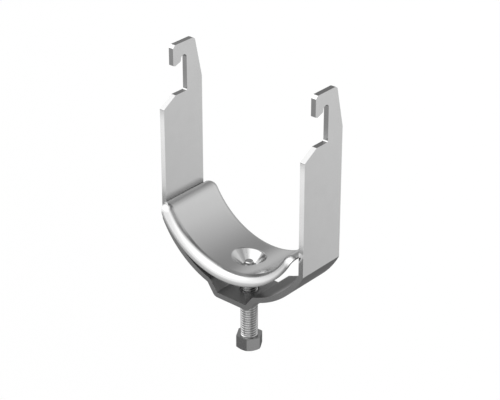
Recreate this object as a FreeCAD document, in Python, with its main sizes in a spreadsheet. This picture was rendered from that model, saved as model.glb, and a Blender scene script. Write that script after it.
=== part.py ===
import FreeCAD, Part
import Sketcher
import math
import os

# Pipe clamp for a slotted rail, in three pieces: a folded strap whose two legs end in hooks,
# a pressed saddle that carries the pipe, and a hexagon screw that turns in the strap and
# pushes the saddle. X runs from leg to leg, Y along the pipe and Z up to the rail.
# The origin lies midway between the legs, at the height where the hooks bear on the rail.

driving_sizes = {
    # strap: one strip, folded
    "strip_width": 25.0,
    "strip_thickness": 2.5,
    "inside_width": 77.0,  # clear space between the legs
    "belly_radius": 43.5,  # inner face of the round bottom
    "belly_depth": 56.2,  # centre of the round bottom below the hooks' seat
    "pan_drop": 3.85,  # inner face of the flat pan below the round bottom
    "pan_flat": 16.6,  # length of the flat of the pan
    "pan_bend": 0.5,  # inner radius where the pan turns up
    "joggle_angle": 55.0,  # slope between pan and belly, in degrees
    "shoulder_bend": 1.0,  # inner radius where the slope meets the belly
    "leg_corner": 1.2,  # outer rounding where the legs meet the belly
    # hooks, cut in the ends of the legs
    "hook_top": 6.1,  # above the seat
    "hook_front": 5.9,  # front of the finger, before the strip's middle
    "top_chamfer": 1.3,
    "finger_drop": 3.85,  # lowest point of the finger below the seat
    "finger_tip": 4.7,  # lowest point of the finger, before the strip's middle
    "finger_chamfer": 0.5,
    "finger_wall": 0.95,  # height of the finger's side below the slot's rounding
    "finger_round": 1.05,
    "slot_width": 3.6,
    "slot_flat": 0.2,  # flat left between the roundings of the slot's top
    "slot_back": 2.7,  # back wall of the slot, behind the strip's middle
    "shelf_depth": 17.7,  # step under the slot, below the seat
    "shelf_front": 4.85,  # front end of the step, before the strip's middle
    "shelf_corner": 0.9,
    "front_start": 22.2,  # where the full width begins, below the seat
    "taper_top": 8.1,  # back of the hook at its top, behind the strip's middle
    "taper_start": 13.95,  # where the back taper begins, below the seat
    "top_round": 2.0,
    # threaded collar, pulled down from the pan
    "collar_wall": 1.4,
    "collar_length": 2.5,
    "collar_root": 0.6,
    "funnel_round": 0.9,
    # saddle
    "sheet_thickness": 1.5,
    "seat_radius": 37.8,
    "saddle_lift": 6.5,  # axis of the seated pipe above the centre of the round bottom
    "saddle_width": 35.6,
    "skirt_depth": 4.5,  # from the seat down to the edge of the rolled sides
    "skirt_straight": 0.15,  # straight end of the rolled sides
    "saddle_play": 0.3,  # gap to each leg
    "lip_turn": 25.6,  # how far the end lips turn down past their crest, in degrees
    "dimple_rim": 7.4,  # radius at the seat
    "dimple_floor": 3.25,  # radius of the flat bottom
    "dimple_depth": 4.4,
    "rim_round": 0.7,
    # screw
    "screw_diameter": 8.0,
    "thread_clearance": 0.06,  # radial, in the collar
    "screw_length": 34.2,  # from shoulder to head
    "screw_tip_chamfer": 0.9,
    "head_flats": 11.0,
    "head_height": 6.5,
    "head_rim": 5.2,  # radius where the chamfer meets the end face
    "head_chamfer_angle": 30.0,
    "pivot_diameter": 4.0,
    "pivot_clearance": 0.08,  # radial, in the dimple's hole
    "pivot_play": 0.1,  # lengthwise, each side of the dimple's floor
    "rivet_radius": 2.85,  # flared end that holds the saddle
    "rivet_thickness": 0.8,
    "pin_diameter": 3.9,
    "pin_height": 1.8,  # above the flared end
    "pin_chamfer": 0.4,
    # how far cutting outlines run past what they cut
    "overrun": 1.0,
}

doc = FreeCAD.newDocument("rail_pipe_clamp")
sizes = doc.addObject("Spreadsheet::Sheet", "sizes")
for row, (name, size) in enumerate(driving_sizes.items(), start=1):
    sizes.set(f"A{row}", name)
    sizes.set(f"B{row}", str(size))
    sizes.setAlias(f"B{row}", name)
doc.recompute()


def number(expression):
    """Value that an expression in the sheet's names has now."""
    return float(sizes.evalExpression(expression.replace("sizes.", "")))


def new_body(label):
    body = doc.addObject("PartDesign::Body", label)
    body.Label = label
    return body


def new_sketch(body, name, role):
    """Empty sketch on one of the body's own origin planes."""
    sketch = body.newObject("Sketcher::SketchObject", name)
    plane = next(item for item in body.Origin.OriginFeatures if item.Role == role)
    sketch.AttachmentSupport = (plane, [""])
    sketch.MapMode = "FlatFace"
    return sketch


def bind(sketch, expression, kind, *where):
    """Adds a dimension whose value follows the sheet."""
    index = sketch.addConstraint(Sketcher.Constraint(kind, *where, number(expression)))
    sketch.setExpression(f"Constraints[{index}]", expression)


def place(sketch, edge, end, across, up):
    """Fixes a point from the sketch's origin; a place of "0" puts it on the axis."""
    if across == "0":
        sketch.addConstraint(Sketcher.Constraint("PointOnObject", edge, end, -2))
    else:
        bind(sketch, across, "DistanceX", -1, 1, edge, end)
    if up == "0":
        sketch.addConstraint(Sketcher.Constraint("PointOnObject", edge, end, -1))
    else:
        bind(sketch, up, "DistanceY", -1, 1, edge, end)


def draw_outline(sketch, corners):
    """Closed outline of straight edges. Each corner is (across, up), or (across, up, radius)
    where it is rounded, all as expressions of the sheet."""
    count = len(corners)
    points = [FreeCAD.Vector(number(corner[0]), number(corner[1]), 0) for corner in corners]
    before = [(points[i - 1] - points[i]).normalize() for i in range(count)]
    after = [(points[(i + 1) % count] - points[i]).normalize() for i in range(count)]
    radii = [number(corner[2]) if len(corner) > 2 else 0 for corner in corners]
    halves = [before[i].getAngle(after[i]) / 2 for i in range(count)]
    trims = [radii[i] / math.tan(halves[i]) for i in range(count)]
    edges = []
    for i in range(count):
        j = (i + 1) % count
        start = points[i] + after[i] * trims[i]
        end = points[j] + before[j] * trims[j]
        edges.append(sketch.addGeometry(Part.LineSegment(start, end)))
    for i, corner in enumerate(corners):
        if len(corner) == 2:
            sketch.addConstraint(Sketcher.Constraint("Coincident", edges[i - 1], 2, edges[i], 1))
            place(sketch, edges[i], 1, corner[0], corner[1])
            continue
        inward = (before[i] + after[i]).normalize()
        centre = points[i] + inward * (radii[i] / math.sin(halves[i]))
        entry = points[i] + before[i] * trims[i] - centre
        leave = points[i] + after[i] * trims[i] - centre
        turns_left = entry.cross(leave).z > 0
        first, last = (entry, leave) if turns_left else (leave, entry)
        circle = Part.Circle(centre, FreeCAD.Vector(0, 0, 1), radii[i])
        arc = sketch.addGeometry(
            Part.ArcOfCircle(circle, math.atan2(first.y, first.x), math.atan2(last.y, last.x))
        )
        entry_end, leave_end = (1, 2) if turns_left else (2, 1)
        point = sketch.addGeometry(Part.Point(points[i]), True)
        place(sketch, point, 1, corner[0], corner[1])
        sketch.addConstraint(
            [
                Sketcher.Constraint("PointOnObject", point, 1, edges[i - 1]),
                Sketcher.Constraint("PointOnObject", point, 1, edges[i]),
                Sketcher.Constraint("Tangent", edges[i - 1], 2, arc, entry_end),
                Sketcher.Constraint("Tangent", arc, leave_end, edges[i], 1),
            ]
        )
        bind(sketch, corner[2], "Radius", arc)


def feature(body, kind, name, sketch, **settings):
    """PartDesign feature made from a sketch; text settings are bound to the sheet."""
    made = body.newObject("PartDesign::" + kind, name)
    made.Profile = sketch
    for setting, given in settings.items():
        if isinstance(given, str) and "sizes." in given:
            made.setExpression(setting, given)
        else:
            setattr(made, setting, given)
    return made


# Clamp strap: one strip folded to a U, with a flat pan joggled down in its round bottom,
# hooks cut in its ends and a threaded collar pulled down in the middle of the pan.

strap = new_body("clamp_strap")
pan_floor = "(sizes.belly_depth + sizes.belly_radius + sizes.pan_drop)"


def draw_strap_profile(sketch):
    """Right half of the folded strip, seen along the pipe, as two concentric lines."""
    thickness = number("sizes.strip_thickness")
    radius = number("sizes.belly_radius")
    half_inside = number("sizes.inside_width / 2")
    flat = number("sizes.pan_flat / 2")
    top = number("sizes.hook_top")
    bottom = -number(pan_floor) - thickness
    bend = number("sizes.pan_bend")
    shoulder = number("sizes.shoulder_bend")
    slope = math.radians(number("sizes.joggle_angle"))
    along = FreeCAD.Vector(math.cos(slope), math.sin(slope), 0)
    outward = FreeCAD.Vector(math.sin(slope), -math.cos(slope), 0)
    belly = FreeCAD.Vector(0, -number("sizes.belly_depth"), 0)
    bend_centre = FreeCAD.Vector(flat, bottom + bend + thickness, 0)

    # the shoulder's centre lies beyond the slope and touches the belly from outside
    near = bend_centre + outward * (bend + thickness + shoulder) - belly
    reach = radius + thickness + shoulder
    shift = -near.dot(along) - math.sqrt(near.dot(along) ** 2 - near.dot(near) + reach**2)
    near_up = near + along * shift
    if near_up.x < 0 or near_up.y > 0:
        raise ValueError("the joggle's slope misses the round bottom")
    shoulder_centre = belly + near_up
    swing = math.atan2(near_up.x, -near_up.y)
    quarter = math.pi / 2

    def line(*ends):
        return sketch.addGeometry(Part.LineSegment(*[FreeCAD.Vector(*end) for end in ends]))

    def arc(centre, size, start, end):
        circle = Part.Circle(centre, FreeCAD.Vector(0, 0, 1), size)
        return sketch.addGeometry(Part.ArcOfCircle(circle, start, end))

    outer_x = half_inside + thickness
    outer_swing = math.asin(outer_x / (radius + thickness))
    inner_swing = math.asin(half_inside / radius)
    outer_corner = belly.y - (radius + thickness) * math.cos(outer_swing)
    inner_corner = belly.y - radius * math.cos(inner_swing)

    pan_under = line((0, bottom), (flat, bottom))
    bend_under = arc(bend_centre, bend + thickness, -quarter, slope - quarter)
    slope_under = line(
        bend_centre + outward * (bend + thickness), shoulder_centre - outward * shoulder
    )
    shoulder_under = arc(shoulder_centre, shoulder, quarter + swing, quarter + slope)
    belly_under = arc(belly, radius + thickness, swing - quarter, outer_swing - quarter)
    leg_outside = line((outer_x, outer_corner), (outer_x, top))
    leg_end = line((outer_x, top), (half_inside, top))
    leg_inside = line((half_inside, top), (half_inside, inner_corner))
    belly_top = arc(belly, radius, swing - quarter, inner_swing - quarter)
    shoulder_top = arc(shoulder_centre, shoulder + thickness, quarter + swing, quarter + slope)
    slope_top = line(
        shoulder_centre - outward * (shoulder + thickness), bend_centre + outward * bend
    )
    bend_top = arc(bend_centre, bend, -quarter, slope - quarter)
    pan_top = line((flat, bottom + thickness), (0, bottom + thickness))
    middle = line((0, bottom + thickness), (0, bottom))

    smooth = [
        (pan_under, 2, bend_under, 1),
        (bend_under, 2, slope_under, 1),
        (slope_under, 2, shoulder_under, 2),
        (shoulder_under, 1, belly_under, 1),
        (belly_top, 1, shoulder_top, 1),
        (shoulder_top, 2, slope_top, 1),
        (slope_top, 2, bend_top, 2),
        (bend_top, 1, pan_top, 1),
    ]
    sharp = [
        (belly_under, 2, leg_outside, 1),
        (leg_outside, 2, leg_end, 1),
        (leg_end, 2, leg_inside, 1),
        (leg_inside, 2, belly_top, 2),
        (pan_top, 2, middle, 1),
        (middle, 2, pan_under, 1),
        (bend_under, 3, bend_top, 3),
        (shoulder_under, 3, shoulder_top, 3),
        (belly_under, 3, belly_top, 3),
    ]
    for joint in smooth:
        sketch.addConstraint(Sketcher.Constraint("Tangent", *joint))
    for joint in sharp:
        sketch.addConstraint(Sketcher.Constraint("Coincident", *joint))
    for edge in (pan_under, leg_end, pan_top):
        sketch.addConstraint(Sketcher.Constraint("Horizontal", edge))
    for edge in (leg_outside, leg_inside):
        sketch.addConstraint(Sketcher.Constraint("Vertical", edge))
    sketch.addConstraint(Sketcher.Constraint("PointOnObject", pan_top, 2, -2))
    place(sketch, pan_under, 1, "0", f"-{pan_floor} - sizes.strip_thickness")
    place(sketch, belly_under, 3, "0", "-sizes.belly_depth")
    bind(sketch, "sizes.pan_flat / 2", "DistanceX", -1, 1, bend_under, 3)
    bind(sketch, "sizes.inside_width / 2", "DistanceX", -1, 1, leg_inside, 1)
    bind(sketch, "sizes.inside_width / 2 + sizes.strip_thickness", "DistanceX", -1, 1, leg_end, 1)
    bind(sketch, "sizes.hook_top", "DistanceY", -1, 1, leg_end, 1)
    bind(sketch, "sizes.belly_radius", "Radius", belly_top)
    bind(sketch, "sizes.belly_radius + sizes.strip_thickness", "Radius", belly_under)
    bind(sketch, "sizes.pan_bend", "Radius", bend_top)
    bind(sketch, "sizes.pan_bend + sizes.strip_thickness", "Radius", bend_under)
    bind(sketch, "sizes.shoulder_bend", "Radius", shoulder_under)
    angle = sketch.addConstraint(Sketcher.Constraint("Angle", -1, 1, slope_under, 1, slope))
    sketch.setExpression(f"Constraints[{angle}]", "sizes.joggle_angle * 1 deg")


strap_profile = new_sketch(strap, "strap_profile", "XZ_Plane")
draw_strap_profile(strap_profile)
strip = feature(
    strap, "Pad", "strip", strap_profile, Length="sizes.strip_width", SideType="Symmetric"
)

slot_round = "(sizes.slot_width - sizes.slot_flat) / 2"
slot_front = "sizes.slot_back - sizes.slot_width"
above = "sizes.hook_top + sizes.overrun"
front_cut = new_sketch(strap, "front_cut", "YZ_Plane")
draw_outline(
    front_cut,
    [
        ("-sizes.strip_width / 2 - sizes.overrun", "-sizes.front_start"),
        ("-sizes.strip_width / 2", "-sizes.front_start"),
        ("-sizes.shelf_front", "-sizes.shelf_depth"),
        ("sizes.slot_back", "-sizes.shelf_depth", "sizes.shelf_corner"),
        ("sizes.slot_back", "0", slot_round),
        (slot_front, "0", slot_round),
        (slot_front, f"-{slot_round} - sizes.finger_wall", "sizes.finger_round"),
        ("-sizes.finger_tip", "-sizes.finger_drop"),
        ("-sizes.hook_front", "-sizes.finger_drop + sizes.finger_chamfer"),
        ("-sizes.hook_front", "sizes.hook_top - sizes.top_chamfer"),
        ("-sizes.hook_front + sizes.top_chamfer", "sizes.hook_top"),
        ("-sizes.hook_front + sizes.top_chamfer", above),
        ("-sizes.strip_width / 2 - sizes.overrun", above),
    ],
)
hook_front = feature(
    strap, "Pocket", "hook_front", front_cut, Type="ThroughAll", SideType="Symmetric"
)

back_cut = new_sketch(strap, "back_cut", "YZ_Plane")
draw_outline(
    back_cut,
    [
        ("sizes.taper_top - 2 * sizes.top_round", above),
        ("sizes.taper_top - 2 * sizes.top_round", "sizes.hook_top"),
        ("sizes.taper_top", "sizes.hook_top", "sizes.top_round"),
        ("sizes.strip_width / 2", "-sizes.taper_start"),
        ("sizes.strip_width / 2 + sizes.overrun", "-sizes.taper_start"),
        ("sizes.strip_width / 2 + sizes.overrun", above),
    ],
)
hook_back = feature(
    strap, "Pocket", "hook_back", back_cut, Type="ThroughAll", SideType="Symmetric"
)



def edges_where(shape, test):
    """Names of the edges whose points all pass a test."""
    names = []
    for index, edge in enumerate(shape.Edges, start=1):
        first, last = edge.ParameterRange
        if all(test(edge.valueAt(first + (last - first) * share)) for share in (0.1, 0.5, 0.9)):
            names.append(f"Edge{index}")
    return names


doc.recompute()
leg_outside = number("sizes.inside_width / 2 + sizes.strip_thickness")
leg_corner = strap.newObject("PartDesign::Fillet", "leg_corner")
leg_corner.Base = (
    hook_back,
    edges_where(
        hook_back.Shape,
        lambda point: abs(point.x - leg_outside) < 0.01 and point.z < -number("sizes.belly_depth"),
    ),
)
leg_corner.setExpression("Radius", "sizes.leg_corner")
doc.recompute()
both_legs = strap.newObject("PartDesign::Mirrored", "both_legs")
both_legs.TransformMode = "Whole shape"
both_legs.MirrorPlane = (
    next(item for item in strap.Origin.OriginFeatures if item.Role == "YZ_Plane"),
    [""],
)
strap.Tip = both_legs

pan_under = f"-{pan_floor} - sizes.strip_thickness"
collar_radius = "sizes.screw_diameter / 2 + sizes.thread_clearance + sizes.collar_wall"
collar_end = f"{pan_under} - sizes.collar_length"
collar_section = new_sketch(strap, "collar_section", "XZ_Plane")
draw_outline(
    collar_section,
    [
        ("0", f"{pan_under} + sizes.strip_thickness / 2"),
        (f"{collar_radius} + 2 * sizes.collar_root", f"{pan_under} + sizes.strip_thickness / 2"),
        (f"{collar_radius} + 2 * sizes.collar_root", pan_under),
        (collar_radius, pan_under, "sizes.collar_root"),
        (collar_radius, collar_end),
        ("0", collar_end),
    ],
)
collar = feature(
    strap, "Revolution", "collar", collar_section, ReferenceAxis=(collar_section, ["V_Axis"])
)

bore_radius = "sizes.screw_diameter / 2 + sizes.thread_clearance"
bore_section = new_sketch(strap, "bore_section", "XZ_Plane")
draw_outline(
    bore_section,
    [
        ("0", f"-{pan_floor} + sizes.overrun"),
        (f"{bore_radius} + 2 * sizes.funnel_round", f"-{pan_floor} + sizes.overrun"),
        (f"{bore_radius} + 2 * sizes.funnel_round", f"-{pan_floor}"),
        (bore_radius, f"-{pan_floor}", "sizes.funnel_round"),
        (bore_radius, f"{collar_end} - sizes.overrun"),
        ("0", f"{collar_end} - sizes.overrun"),
    ],
)
bore = feature(strap, "Groove", "bore", bore_section, ReferenceAxis=(bore_section, ["V_Axis"]))


# Pressure saddle: one pressed sheet. Its trough carries the pipe, its long sides are rolled
# down past the strap's edges, its ends turn over in lips, and a dimple holds the screw's pin.
# Its own frame has the pipe's axis as Y.

saddle = new_body("pressure_saddle")
seat_axis = "(sizes.belly_depth - sizes.saddle_lift)"
saddle.setExpression("Placement.Base.z", f"-{seat_axis}")

half_width = "sizes.saddle_width / 2"
inner_half = "(sizes.saddle_width / 2 - sizes.sheet_thickness)"
roll = "(sizes.skirt_depth - sizes.skirt_straight)"
edge_radius = "(sizes.seat_radius + sizes.skirt_depth)"
lip_axis_x = (
    "(sizes.inside_width / 2 - sizes.saddle_play - sizes.skirt_depth * sin(sizes.lip_turn * 1 deg))"
)
seat_half_angle = f"asin({lip_axis_x} / {edge_radius})"
dimple_slant = "sqrt((sizes.dimple_rim - sizes.dimple_floor) ^ 2 + sizes.dimple_depth ^ 2)"
dimple_wall = f"sizes.sheet_thickness * {dimple_slant} / sizes.dimple_depth"
dimple_spread = "(sizes.dimple_rim - sizes.dimple_floor) / sizes.dimple_depth"
floor_under = "(sizes.seat_radius + sizes.dimple_depth + sizes.sheet_thickness)"

dimple_blank_section = new_sketch(saddle, "dimple_blank_section", "XZ_Plane")
blank_top = "2 * sizes.sheet_thickness"
draw_outline(
    dimple_blank_section,
    [
        ("0", f"-sizes.seat_radius + {blank_top}"),
        (
            f"sizes.dimple_rim + {dimple_wall} + {blank_top} * {dimple_spread}",
            f"-sizes.seat_radius + {blank_top}",
        ),
        (
            f"sizes.dimple_floor + {dimple_wall} - sizes.sheet_thickness * {dimple_spread}",
            f"-{floor_under}",
        ),
        ("0", f"-{floor_under}"),
    ],
)
dimple_blank = feature(
    saddle,
    "Revolution",
    "dimple_blank",
    dimple_blank_section,
    ReferenceAxis=(dimple_blank_section, ["V_Axis"]),
)

pipe_circle = new_sketch(saddle, "pipe_circle", "XZ_Plane")
circle = pipe_circle.addGeometry(
    Part.Circle(FreeCAD.Vector(), FreeCAD.Vector(0, 0, 1), number("sizes.seat_radius"))
)
pipe_circle.addConstraint(Sketcher.Constraint("Coincident", circle, 3, -1, 1))
bind(pipe_circle, "sizes.seat_radius", "Radius", circle)
pipe_space = feature(
    saddle, "Pocket", "pipe_space", pipe_circle, Type="ThroughAll", SideType="Symmetric"
)

trough_section = new_sketch(saddle, "trough_section", "YZ_Plane")
draw_outline(
    trough_section,
    [
        (half_width, f"-{edge_radius}"),
        (half_width, "-sizes.seat_radius", roll),
        (f"-{half_width}", "-sizes.seat_radius", roll),
        (f"-{half_width}", f"-{edge_radius}"),
        (f"-{inner_half}", f"-{edge_radius}"),
        (f"-{inner_half}", "-sizes.seat_radius - sizes.sheet_thickness", f"{roll} - sizes.sheet_thickness"),
        (inner_half, "-sizes.seat_radius - sizes.sheet_thickness", f"{roll} - sizes.sheet_thickness"),
        (inner_half, f"-{edge_radius}"),
    ],
)
trough = feature(
    saddle,
    "Revolution",
    "trough",
    trough_section,
    ReferenceAxis=(trough_section, ["H_Axis"]),
    Midplane=True,
    Angle=f"2 * {seat_half_angle}",
)

lip_section = new_sketch(saddle, "lip_section", "YZ_Plane")
lip_section.setExpression("AttachmentOffset.Base.z", lip_axis_x)
lip_section.setExpression("AttachmentOffset.Base.y", f"-{edge_radius} * cos({seat_half_angle})")
draw_outline(
    lip_section,
    [
        (half_width, "0"),
        (half_width, "sizes.skirt_depth", roll),
        (f"-{half_width}", "sizes.skirt_depth", roll),
        (f"-{half_width}", "0"),
        (f"-{inner_half}", "0"),
        (f"-{inner_half}", "sizes.skirt_depth - sizes.sheet_thickness", f"{roll} - sizes.sheet_thickness"),
        (inner_half, "sizes.skirt_depth - sizes.sheet_thickness", f"{roll} - sizes.sheet_thickness"),
        (inner_half, "0"),
    ],
)
lip = feature(
    saddle,
    "Revolution",
    "lip",
    lip_section,
    ReferenceAxis=(lip_section, ["H_Axis"]),
    Type="TwoAngles",
    Angle="sizes.lip_turn * 1 deg",
    Angle2=seat_half_angle,
)
doc.recompute()
other_lip = saddle.newObject("PartDesign::Mirrored", "other_lip")
other_lip.Originals = [lip]
other_lip.MirrorPlane = (
    next(item for item in saddle.Origin.OriginFeatures if item.Role == "YZ_Plane"),
    [""],
)
saddle.Tip = other_lip

pin_hole = "sizes.pivot_diameter / 2 + sizes.pivot_clearance"
dimple_section = new_sketch(saddle, "dimple_section", "XZ_Plane")
draw_outline(
    dimple_section,
    [
        ("0", f"-sizes.seat_radius + {blank_top}"),
        (f"sizes.dimple_rim + {blank_top} * {dimple_spread}", f"-sizes.seat_radius + {blank_top}"),
        ("sizes.dimple_floor", "-sizes.seat_radius - sizes.dimple_depth"),
        (pin_hole, "-sizes.seat_radius - sizes.dimple_depth"),
        (pin_hole, f"-{floor_under} - sizes.overrun"),
        ("0", f"-{floor_under} - sizes.overrun"),
    ],
)
dimple = feature(
    saddle, "Groove", "dimple", dimple_section, ReferenceAxis=(dimple_section, ["V_Axis"])
)
doc.recompute()

seat_radius = number("sizes.seat_radius")
rim_reach = number("sizes.dimple_rim + sizes.sheet_thickness")
rim = saddle.newObject("PartDesign::Fillet", "rim")
rim.Base = (
    dimple,
    edges_where(
        dimple.Shape,
        lambda point: abs(math.hypot(point.x, point.z) - seat_radius) < 0.01
        and math.hypot(point.x, point.y) < rim_reach,
    ),
)
rim.setExpression("Radius", "sizes.rim_round")


# Hexagon screw: threaded over its whole shank. A turned pin on its end passes through the
# saddle's dimple and is flared over it, so that the saddle follows while the screw turns.
# Its own frame has the shoulder under the saddle as Z = 0.

screw = new_body("hex_screw")
screw.setExpression("Placement.Base.z", f"-{seat_axis} - {floor_under} - sizes.pivot_play")

neck_radius = "sizes.pivot_diameter / 2"
rivet_under = "(sizes.sheet_thickness + 2 * sizes.pivot_play)"
rivet_top = f"({rivet_under} + sizes.rivet_thickness)"
pin_top = f"({rivet_top} + sizes.pin_height)"
shank_radius = "sizes.screw_diameter / 2"
shank_section = new_sketch(screw, "shank_section", "XZ_Plane")
draw_outline(
    shank_section,
    [
        ("0", pin_top),
        ("sizes.pin_diameter / 2 - sizes.pin_chamfer", pin_top),
        ("sizes.pin_diameter / 2", f"{pin_top} - sizes.pin_chamfer"),
        ("sizes.pin_diameter / 2", rivet_top),
        ("sizes.rivet_radius", rivet_top),
        ("sizes.rivet_radius", rivet_under),
        (neck_radius, rivet_under),
        (neck_radius, "0"),
        (f"{shank_radius} - sizes.screw_tip_chamfer", "0"),
        (shank_radius, "-sizes.screw_tip_chamfer"),
        (shank_radius, "-sizes.screw_length - sizes.head_height / 2"),
        ("0", "-sizes.screw_length - sizes.head_height / 2"),
    ],
)
shank = feature(
    screw, "Revolution", "shank", shank_section, ReferenceAxis=(shank_section, ["V_Axis"])
)

corner = "sizes.head_flats / sqrt(3)"
hexagon = new_sketch(screw, "hexagon", "XY_Plane")
hexagon.setExpression("AttachmentOffset.Base.z", "-sizes.screw_length")
draw_outline(
    hexagon,
    [
        (corner, "0"),
        (f"{corner} / 2", "sizes.head_flats / 2"),
        (f"-{corner} / 2", "sizes.head_flats / 2"),
        (f"-{corner}", "0"),
        (f"-{corner} / 2", "-sizes.head_flats / 2"),
        (f"{corner} / 2", "-sizes.head_flats / 2"),
    ],
)
head = feature(screw, "Pad", "head", hexagon, Length="sizes.head_height", Reversed=True)

head_end = "-sizes.screw_length - sizes.head_height"
chamfer_reach = f"({corner} + sizes.overrun)"
chamfer_section = new_sketch(screw, "chamfer_section", "XZ_Plane")
draw_outline(
    chamfer_section,
    [
        ("sizes.head_rim", head_end),
        (
            chamfer_reach,
            f"{head_end} + ({chamfer_reach} - sizes.head_rim) * tan(sizes.head_chamfer_angle * 1 deg)",
        ),
        (chamfer_reach, f"{head_end} - sizes.overrun"),
        ("sizes.head_rim", f"{head_end} - sizes.overrun"),
    ],
)
head_chamfer = feature(
    screw, "Groove", "head_chamfer", chamfer_section, ReferenceAxis=(chamfer_section, ["V_Axis"])
)

doc.recompute()

pieces = [strap, saddle, screw]
for item in doc.Objects:
    if "Invalid" in item.State or "Error" in item.State:
        raise RuntimeError(f"{item.Label} did not build: {item.State}")
for piece in pieces:
    if piece.Shape.isNull() or not piece.Shape.isValid():
        raise RuntimeError(f"{piece.Label} has no valid shape")
    if len(piece.Shape.Solids) != 1:
        raise RuntimeError(f"{piece.Label} is in {len(piece.Shape.Solids)} solids")

os.makedirs("parts", exist_ok=True)
for piece in pieces:
    piece.Shape.exportStep(f"parts/{piece.Label}.step")
    box = piece.Shape.BoundBox
    print(
        f"{piece.Label}: {piece.Shape.Volume:.1f} mm3,"
        f" x {box.XMin:.2f} to {box.XMax:.2f}, y {box.YMin:.2f} to {box.YMax:.2f},"
        f" z {box.ZMin:.2f} to {box.ZMax:.2f}"
    )
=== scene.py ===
import math

import bmesh
import bpy
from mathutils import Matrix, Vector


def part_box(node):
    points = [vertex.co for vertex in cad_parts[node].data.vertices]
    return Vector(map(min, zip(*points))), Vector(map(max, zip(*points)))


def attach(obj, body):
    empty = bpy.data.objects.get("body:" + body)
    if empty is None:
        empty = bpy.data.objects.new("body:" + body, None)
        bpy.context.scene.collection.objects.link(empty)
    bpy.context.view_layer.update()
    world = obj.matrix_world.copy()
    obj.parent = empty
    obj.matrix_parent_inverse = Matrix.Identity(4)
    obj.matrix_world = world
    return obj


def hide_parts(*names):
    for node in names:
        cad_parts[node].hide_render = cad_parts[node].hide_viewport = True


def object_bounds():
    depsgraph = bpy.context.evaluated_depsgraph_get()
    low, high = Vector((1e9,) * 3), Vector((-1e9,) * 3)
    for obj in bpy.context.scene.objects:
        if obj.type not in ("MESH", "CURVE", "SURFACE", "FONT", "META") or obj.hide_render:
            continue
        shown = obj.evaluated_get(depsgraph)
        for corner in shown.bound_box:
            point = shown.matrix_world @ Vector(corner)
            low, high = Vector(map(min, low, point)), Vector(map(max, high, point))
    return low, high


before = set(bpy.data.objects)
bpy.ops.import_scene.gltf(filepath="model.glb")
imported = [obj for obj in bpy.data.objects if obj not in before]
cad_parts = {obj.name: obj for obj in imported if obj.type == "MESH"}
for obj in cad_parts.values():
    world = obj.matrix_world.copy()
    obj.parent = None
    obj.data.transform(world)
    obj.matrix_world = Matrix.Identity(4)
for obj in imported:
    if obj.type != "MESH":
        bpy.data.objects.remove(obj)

cad_low, cad_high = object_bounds()

# Clamp strap: cold-rolled steel strip, blanked to shape, folded to a U with a flat pan
# joggled down in its round bottom, then zinc plated. Its long sides are the strip's own
# slit edges, smooth and pale; the hooks' outlines are sheared and darker, the pan is dull.
# The pan and the belly beside it are painted darker, as painted shade from the saddle.

millimetre = 0.001


class Shade:
    """One output in a shader tree. Arithmetic on it adds Math nodes, node() any other."""

    def __init__(self, tree, source=None, output=0):
        self.tree = tree
        self.source = source
        self.output = output

    def __getitem__(self, output):
        return Shade(self.tree, self.source, output)

    def node(self, kind, settings=(), sockets=(), output=0):
        made = self.tree.nodes.new(kind)
        for name, setting in dict(settings).items():
            setattr(made, name, setting)
        for name, given in dict(sockets).items():
            if isinstance(given, Shade):
                self.tree.links.new(given.source.outputs[given.output], made.inputs[name])
            else:
                made.inputs[name].default_value = given
        return Shade(self.tree, made, output)

    def math(self, operation, first, second=0.0):
        return self.node("ShaderNodeMath", {"operation": operation}, {0: first, 1: second})

    def __add__(self, other):
        return self.math("ADD", self, other)

    def __radd__(self, other):
        return self.math("ADD", other, self)

    def __sub__(self, other):
        return self.math("SUBTRACT", self, other)

    def __rsub__(self, other):
        return self.math("SUBTRACT", other, self)

    def __mul__(self, other):
        return self.math("MULTIPLY", self, other)

    def __rmul__(self, other):
        return self.math("MULTIPLY", other, self)

    def __abs__(self):
        return self.math("ABSOLUTE", self)

    def rise(self, low, high):
        """0 below low, 1 above high and smooth between; falls where low is the higher."""
        sockets = {"Value": self, "From Min": low, "From Max": high}
        return self.node("ShaderNodeMapRange", {"interpolation_type": "SMOOTHSTEP"}, sockets)

    def vector(self, operation, other=(0.0, 0.0, 0.0), output=0):
        return self.node("ShaderNodeVectorMath", {"operation": operation}, {0: self, 1: other}, output)

    def axes(self):
        return self.node("ShaderNodeSeparateXYZ", sockets={0: self})

    def noise(self, waves, detail):
        """Noise with so many waves in a metre along X, Y and Z."""
        spread = self.vector("MULTIPLY", waves)
        sockets = {"Vector": spread, "Scale": 1.0, "Detail": detail, "Roughness": 0.55}
        return self.node("ShaderNodeTexNoise", sockets=sockets)

    def bump(self, depth):
        return self.node("ShaderNodeBump", sockets={"Height": self, "Strength": 1.0, "Distance": depth})

    def grey(self):
        return self.node("ShaderNodeCombineColor", sockets={0: self, 1: self, 2: self})


def new_tree(owner):
    owner.use_nodes = True
    owner.node_tree.nodes.clear()
    return Shade(owner.node_tree)


def new_metal(name):
    """A metal finish, its tree, and where on the piece a point is."""
    finish = bpy.data.materials.new(name)
    steel = new_tree(finish)
    return finish, steel, steel.node("ShaderNodeTexCoord", output="Object")


def plate(steel, tone, gloss, relief, sockets=()):
    """Ends the tree of a metal finish; relief is its bumps as a normal."""
    given = {"Base Color": tone.grey(), "Metallic": 1.0, "Roughness": gloss, "Normal": relief}
    metal = steel.node("ShaderNodeBsdfPrincipled", sockets={**given, **dict(sockets)})
    steel.node("ShaderNodeOutputMaterial", sockets={"Surface": metal})


def coat(node, finish):
    """Gives a solid of the frame its finish, in every slot."""
    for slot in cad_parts[node].material_slots:
        slot.material = finish


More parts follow.
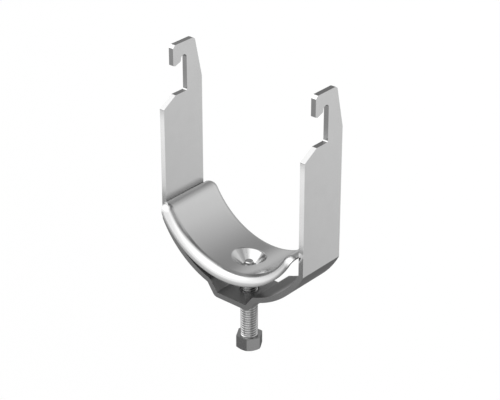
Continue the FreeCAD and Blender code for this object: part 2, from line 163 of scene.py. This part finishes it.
strip_half_width = 12.5 * millimetre
edge_wear = 0.5 * millimetre
hooks_begin = -22.3 * millimetre
hook_blend = 0.4 * millimetre
pan_side_top = -90.0 * millimetre
pan_side_height = 5.0 * millimetre
pan_half_flat = 8.0 * millimetre
joggle_end = 14.0 * millimetre
strip_relief = 0.008 * millimetre

strip_finish, steel, spot = new_metal("plated_strip")
place = spot.axes()
facing = steel.node("ShaderNodeTexCoord", output="Normal").axes()
clouds = spot.noise((160, 160, 160), 3)
rolled = spot.noise((70, 4200, 70), 4)
pits = spot.noise((5200, 5200, 5200), 2)
shear = spot.noise((300, 3600, 3600), 3)
edge_on = abs(facing["X"]).rise(0.6, 0.3)
in_hooks = place["Z"].rise(hooks_begin - hook_blend, hooks_begin)
slit = abs(facing["Y"]).rise(0.7, 0.95) * (1 - edge_on * in_hooks)
rubbed = abs(place["Y"]).rise(strip_half_width - edge_wear, strip_half_width) * (1 - slit)
chamfered = abs(facing["Y"] * facing["Z"]).rise(0.3, 0.45)
punched = edge_on * in_hooks * (1 - chamfered)
# Where the pan lies under the saddle, and the belly beside it. Below, both are painted darker as
# painted shade of the saddle, and the pan is also rougher.
pan_shade_and_dull = facing["Z"].rise(0.3, 0.8) * place["Z"].rise(pan_side_top, pan_side_top - pan_side_height)
shade_beside_pan = pan_shade_and_dull * abs(place["X"]).rise(pan_half_flat, joggle_end)
tone = 0.5 + 0.05 * clouds + 0.03 * rolled + 0.06 * rubbed + 0.12 * slit
tone -= 0.22 * punched + 0.18 * pan_shade_and_dull + 0.13 * shade_beside_pan
gloss = 0.2 + 0.05 * clouds + 0.02 * rolled - 0.02 * rubbed - 0.1 * (slit + punched) + 0.2 * pan_shade_and_dull
relief = 0.4 * rolled + 0.12 * pits + 0.6 * punched * shear
plate(steel, tone, gloss, relief.bump(strip_relief))
coat("clamp_strap", strip_finish)

# Female thread of the strap's collar: cut by a tap through the hole that was pulled down
# in the pan, in the strap's own steel. The ridge fills the screw's groove with a little
# play, and fades out at both mouths of the hole.

pitch = 1.25 * millimetre
turn = 2 * math.pi
steps = 96  # in one turn of a round form

screw_low, screw_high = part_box("hex_screw")
strap_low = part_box("clamp_strap")[0]
head_height = 6.5 * millimetre
collar_end = strap_low.z
bore_radius = 4.06 * millimetre
bore_top = collar_end + 4.1 * millimetre
plain_mouth = 0.45 * millimetre
ridge_radius = 3.4 * millimetre
ridge_foot = bore_radius + 0.02 * millimetre
half_foot = 0.4 * pitch
half_top = 0.07 * pitch
thinnest = 0.02  # share of the full ridge, where it starts
fade_steps = 0.4 * steps
groove_start = screw_low.z + head_height - pitch / 2
first_step = math.ceil((collar_end + plain_mouth - groove_start) / pitch * steps)
last_step = math.floor((bore_top - plain_mouth - groove_start) / pitch * steps)


def round_point(mesh, radius, angle, height):
    """One point of a form about the screw's axis."""
    return mesh.verts.new((radius * math.cos(angle), radius * math.sin(angle), height))


def ridge_section(step):
    """The ridge's outline at one step, as (radius, height) from its lower foot up."""
    fade = min(1.0, thinnest + min(step - first_step, last_step - step) / fade_steps)
    height = groove_start + pitch * step / steps
    top = ridge_foot + (ridge_radius - ridge_foot) * fade
    return [
        (ridge_foot, height - half_foot * fade),
        (top, height - half_top),
        (top, height + half_top),
        (ridge_foot, height + half_foot * fade),
    ]


def new_piece(name, mesh, finish, sharp_angle):
    """Turns finished mesh data into an object, smooth but for edges above the angle."""
    bmesh.ops.recalc_face_normals(mesh, faces=mesh.faces)
    data = bpy.data.meshes.new(name)
    mesh.to_mesh(data)
    mesh.free()
    data.materials.append(finish)
    data.shade_smooth()
    data.set_sharp_from_angle(angle=math.radians(sharp_angle))
    piece = bpy.data.objects.new(name, data)
    bpy.context.scene.collection.objects.link(piece)
    return piece


mesh = bmesh.new()
strips = []
for step in range(first_step, last_step + 1):
    angle = turn * step / steps
    strips.append([round_point(mesh, radius, angle, height) for radius, height in ridge_section(step)])
for before, after in zip(strips, strips[1:]):
    for i in range(len(before) - 1):
        mesh.faces.new((before[i], after[i], after[i + 1], before[i + 1]))
collar_thread = new_piece("collar_thread", mesh, strip_finish, sharp_angle=40)
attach(collar_thread, "strap")

# Pressure saddle: one blank of steel sheet, pressed round the pipe's arc with both long
# sides and both ends rolled down and the middle dimpled for the screw, then zinc plated.
# Pressing leaves it smoother than the strap, with faint draw lines along the trough.

seat_half_width = 13.45 * millimetre
roll_width = 2.0 * millimetre
sheet_relief = 0.005 * millimetre

sheet_finish, steel, spot = new_metal("pressed_sheet")
clouds = spot.noise((120, 120, 120), 2)
drawn = spot.noise((45, 2600, 45), 4)
pits = spot.noise((6000, 6000, 6000), 2)
crown = abs(spot.axes()["Y"]).rise(seat_half_width, seat_half_width + roll_width)
tone = 0.54 + 0.03 * clouds + 0.02 * drawn + 0.04 * crown
gloss = 0.16 + 0.04 * clouds + 0.02 * drawn
relief = 0.5 * drawn + 0.3 * pits
plate(steel, tone, gloss, relief.bump(sheet_relief))
coat("pressure_saddle", sheet_finish)

# Hexagon screw: cold-formed steel with a rolled right-hand thread of 1.25 mm pitch up to
# its head, zinc plated. Its turned end passes through the dimple's hole and is flared over
# inside the dimple, so that it turns in the saddle and holds it.

head_flats = 11.0 * millimetre
head_rim = 5.2 * millimetre
head_chamfer = math.radians(30)
dish_radius = 4.4 * millimetre
dish_depth = 0.2 * millimetre
shank_length = 34.2 * millimetre
crest_radius = 4.0 * millimetre
thread_depth = 0.541 * pitch
root_radius = crest_radius - thread_depth
run_out = 0.35 * pitch
point_chamfer = 0.9 * millimetre
point_radius = crest_radius - point_chamfer
head_end = screw_low.z
head_top = head_end + head_height
shoulder = head_top + shank_length

# one pitch of the rolled thread, as (share of the pitch, share of the depth)
thread_section = [
    (-0.1, 0.96),
    (-0.065, 1.0),
    (0.065, 1.0),
    (0.1, 0.96),
    (0.36, 0.05),
    (0.41, 0.0),
    (0.59, 0.0),
    (0.64, 0.05),
]

mesh = bmesh.new()
thread_turns = math.ceil(shank_length / pitch) + 2
strips = []
for step in range(thread_turns * steps + 1):
    angle = turn * step / steps
    strip = []
    for share, depth in thread_section:
        height = head_top - pitch + pitch * (step / steps + share)
        height = min(max(height, head_top), shoulder)
        filled = max(depth, 1 - (height - head_top) / run_out)
        radius = min(root_radius + thread_depth * filled, point_radius + shoulder - height)
        strip.append(round_point(mesh, radius, angle, height))
    strips.append(strip)
for step in range(len(strips) - 1):
    for i in range(len(thread_section)):
        if i + 1 < len(thread_section):
            upper, upper_next = strips[step][i + 1], strips[step + 1][i + 1]
        elif step + 1 + steps < len(strips):
            upper, upper_next = strips[step + steps][0], strips[step + 1 + steps][0]
        else:
            continue
        corners = (strips[step][i], strips[step + 1][i], upper_next, upper)
        heights = [corner.co.z for corner in corners]
        if max(heights) > head_top and min(heights) < shoulder:
            mesh.faces.new(corners)


def ring(radius_at, height_at):
    """One round of points; the radius follows from the angle, the height from the radius."""
    points = []
    for step in range(steps):
        angle = turn * step / steps
        radius = radius_at(angle)
        points.append(round_point(mesh, radius, angle, height_at(radius)))
    return points


def lathe(outline):
    """Rounds of points from a turned outline, as (radius, height)."""
    return [ring(lambda angle, r=radius: r, lambda radius, z=height: z) for radius, height in outline]


def skin(rings):
    """Joins rings of points, one after the other, and closes the last."""
    for lower, upper in zip(rings, rings[1:]):
        for i in range(steps):
            j = (i + 1) % steps
            mesh.faces.new((lower[i], lower[j], upper[j], upper[i]))
    mesh.faces.new(rings[-1])


def hexagon(angle):
    """Radius of the head at an angle; its corners lie on the X axis."""
    off_flat = (angle % math.radians(60)) - math.radians(30)
    return head_flats / 2 / math.cos(off_flat)


head = lathe([(crest_radius, head_top)])
head.append(ring(hexagon, lambda radius: head_top))
head.append(ring(hexagon, lambda radius: head_end + (radius - head_rim) * math.tan(head_chamfer)))
head += lathe([
    (head_rim, head_end),
    (dish_radius, head_end),
    (dish_radius - 1.5 * dish_depth, head_end + 0.75 * dish_depth),
    (2 * dish_depth, head_end + dish_depth),
])
skin(head)

neck_radius = 2.0 * millimetre
flare_radius = 2.85 * millimetre
flare_under = shoulder + 1.7 * millimetre
flare_top = shoulder + 2.5 * millimetre
pin_radius = 1.95 * millimetre
pin_top = screw_high.z
soft = 0.2 * millimetre  # rounding of the pin's edges
skin(lathe([
    (point_radius, shoulder),
    (neck_radius, shoulder),
    (neck_radius, flare_under),
    (flare_radius - soft, flare_under),
    (flare_radius, flare_under + soft),
    (flare_radius, flare_top - soft),
    (flare_radius - soft, flare_top),
    (pin_radius + soft, flare_top),
    (pin_radius, flare_top + soft),
    (pin_radius, pin_top - 2 * soft),
    (pin_radius - soft, pin_top - soft / 2),
    (pin_radius - 2 * soft, pin_top),
    (1.5 * soft, pin_top),
]))
weld = 0.002 * millimetre
bmesh.ops.remove_doubles(mesh, verts=mesh.verts, dist=weld)

tenth = 0.1 * millimetre
screw_relief = 0.004 * millimetre
screw_edge_tint = 0.4

screw_finish, steel, spot = new_metal("plated_screw")
up_screw = spot.axes()["Z"]
facing = steel.node("ShaderNodeTexCoord", output="Normal").axes()
from_axis = spot.vector("MULTIPLY", (1, 1, 0)).vector("LENGTH", output="Value")
clouds = spot.noise((300, 300, 300), 3)
pits = spot.noise((7000, 7000, 7000), 2)
above_head = up_screw.rise(head_top - tenth / 2, head_top + tenth)
threaded = above_head * up_screw.rise(shoulder + tenth, shoulder - tenth)
on_crest = from_axis.rise(crest_radius - tenth, crest_radius - 0.3 * tenth)
at_root = from_axis.rise(root_radius + 3 * tenth, root_radius + tenth)
# The thread's crests and roots are painted darker as painted shade, and the threaded part is painted
# lighter so its flanks show as painted light; together they draw the thread's stripes.
crest_and_root_shade = threaded * (on_crest + at_root)
faced = facing["Z"].rise(0.8, 0.95) * (1 - above_head)
tone = 0.52 + 0.05 * clouds + 0.24 * threaded - 0.5 * crest_and_root_shade
gloss = 0.14 + 0.06 * clouds + 0.12 * threaded - 0.08 * faced
edge_tint = {"Specular Tint": (screw_edge_tint, screw_edge_tint, screw_edge_tint, 1.0)}
plate(steel, tone, gloss, pits.bump(screw_relief), edge_tint)
screw = new_piece("threaded_screw", mesh, screw_finish, sharp_angle=30)
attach(screw, "screw")
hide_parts("hex_screw")

# Studio: a pale floor some way below the clamp, which hangs from its rail, and a soft lamp
# at the front left. The plated steel mirrors a grey room with a bright front, a table in
# its lower part and a window behind; to the eye all of it is white.

floor_drop = 0.3
floor_side = 5.0
clamp_middle = (0.0, 0.0, -0.07)

floor_mesh = bpy.data.meshes.new("floor")
corners = [(-1, -1), (1, -1), (1, 1), (-1, 1)]
floor_points = [(floor_side * x, floor_side * y, cad_low.z - floor_drop) for x, y in corners]
floor_mesh.from_pydata(floor_points, [], [(0, 1, 2, 3)])
floor = bpy.data.objects.new("floor", floor_mesh)
bpy.context.scene.collection.objects.link(floor)


def surround(toward):
    """Brightness of the studio in one direction, as plated steel mirrors it."""
    right, back, up = toward["X"], toward["Y"], toward["Z"]

    def brighter(first, second):
        return toward.math("MAXIMUM", first, second)

    over_ground = (up + 0.14 * right - 0.06 * back).rise(-0.7, -0.4)
    left_end = right.rise(-0.6, -0.85)
    right_end = right.rise(0.62, 0.85)
    dark_panel = back.rise(-0.1, 0.05) * back.rise(0.5, 0.35)
    dark_panel *= up.rise(0.3, 0.5) * right.rise(-0.6, -0.3)
    room = 0.19 + 0.12 * over_ground + 0.1 * left_end + 0.22 * right_end - 0.16 * dark_panel

    soft_box = (back + 0.56 * right - 0.66 * up).rise(-0.13, -1.12)
    front_wall = back.rise(-0.2, -0.7)
    front = brighter(soft_box, front_wall) * (1.02 + 0.65 * up.rise(0.03, 0.88))
    over_table = 0.46 * up.rise(-0.48, -0.36) + 0.54 * up.rise(-0.1, 0.11)
    beside_table = brighter(right.rise(-0.64, -0.8), right.rise(-0.42, -0.28))
    front *= brighter(over_table, beside_table)

    wall = 0.11 * up.rise(-0.45, -0.3) + 0.64 * right.rise(-0.5, 0.6)
    skirting = 0.22 * up.rise(-0.4, -0.46) * right.rise(0.1, -0.15)
    corner = 0.29 * right.rise(-0.55, -0.75) * up.rise(-0.25, 0.15)
    window = (wall + skirting + corner) * back.rise(0.58, 0.645)
    beside_window = 0.45 * right.rise(0.35, 0.6) * back.rise(0.0, 0.3)
    above_floor = up.rise(-0.68, -0.56)
    return room + front + brighter(window, beside_window) * above_floor


paper_tone = 0.86
paper_glow = 0.9  # share of the floor's look that is plain white; the rest keeps the shadow

paper = bpy.data.materials.new("pale_paper")
sheet = new_tree(paper)
spot = sheet.node("ShaderNodeTexCoord", output="Object")
from_clamp = spot.vector("SUBTRACT", clamp_middle).vector("NORMALIZE")
ray = sheet.node("ShaderNodeLightPath")
seen = ray["Is Camera Ray"]
level = seen + (1 - seen) * surround(from_clamp.axes())
mirrored = sheet.math("MAXIMUM", ray["Is Glossy Ray"], ray["Is Transmission Ray"])
shown = sheet.math("MAXIMUM", paper_glow * seen, mirrored)
fibre = spot.noise((900, 900, 900), 2)
pulp = (paper_tone + 0.02 * fibre).grey()
matt = sheet.node("ShaderNodeBsdfDiffuse", sockets={"Color": pulp, "Roughness": 0.9})
white = sheet.node("ShaderNodeEmission", sockets={"Color": level.grey(), "Strength": 1.0})
mixed = sheet.node("ShaderNodeMixShader", sockets={0: shown, 1: matt, 2: white})
sheet.node("ShaderNodeOutputMaterial", sockets={"Surface": mixed})
floor_mesh.materials.append(paper)

world = bpy.data.worlds.new("studio")
bpy.context.scene.world = world
air = new_tree(world)
toward = air.node("ShaderNodeTexCoord", output="Generated")
seen = air.node("ShaderNodeLightPath")["Is Camera Ray"]
sky = surround(toward.axes()) * (1 - seen) + seen
glow = air.node("ShaderNodeBackground", sockets={"Color": sky.grey(), "Strength": 1.0})
air.node("ShaderNodeOutputWorld", sockets={"Surface": glow})


def area_light(name, width, height, radiance, location):
    """A flat lamp; its power follows from how bright its face is to look at."""
    data = bpy.data.lights.new(name, "AREA")
    data.shape = "RECTANGLE"
    data.size = width
    data.size_y = height
    data.energy = radiance * math.pi * width * height
    light = bpy.data.objects.new(name, data)
    light.location = location
    bpy.context.scene.collection.objects.link(light)
    return light


lamp = area_light("soft_lamp", width=1.2, height=0.8, radiance=0.4, location=(-0.9, -0.75, 1.0))
lamp.rotation_euler = (-lamp.location).to_track_quat("-Z", "Y").to_euler()

# Two small bright cards low in front of the legs. Only the strap mirrors them: they make
# its narrow front edges white from below the hooks down to the saddle, and no lower.

card_side = bpy.data.collections.new("card_side")
card_side.objects.link(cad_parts["clamp_strap"])
card_width = 0.06
card_low = -0.1122
card_front = -0.0793
for name, across, top, radiance in (
    ("left_card", -0.0984, -0.0685, 0.53),
    ("right_card", -0.0164, -0.067, 0.76),
):
    middle = (across, card_front, (card_low + top) / 2)
    card = area_light(name, card_width, top - card_low, radiance, middle)
    card.rotation_euler = (math.radians(90), 0.0, 0.0)
    card.visible_camera = False
    card.light_linking.receiver_collection = card_side

# Camera: above the clamp's front right, with the long lens that the picture's nearly
# parallel edges show.

azimuth = math.radians(40.68)
elevation = math.radians(28.30)
picture_width = 500
focal_pixels = 1761.3
camera_data = bpy.data.cameras.new("camera")
camera_data.sensor_width = 36.0
camera_data.lens = camera_data.sensor_width * focal_pixels / picture_width
camera_data.clip_start = 0.01
camera_data.clip_end = 50.0
camera = bpy.data.objects.new("camera", camera_data)
camera.location = (0.44509, -0.51728, 0.30904)
camera.rotation_euler = (math.radians(90) - elevation, 0.0, azimuth)
bpy.context.scene.collection.objects.link(camera)
bpy.context.scene.camera = camera
bpy.context.scene.view_settings.view_transform = "Standard"
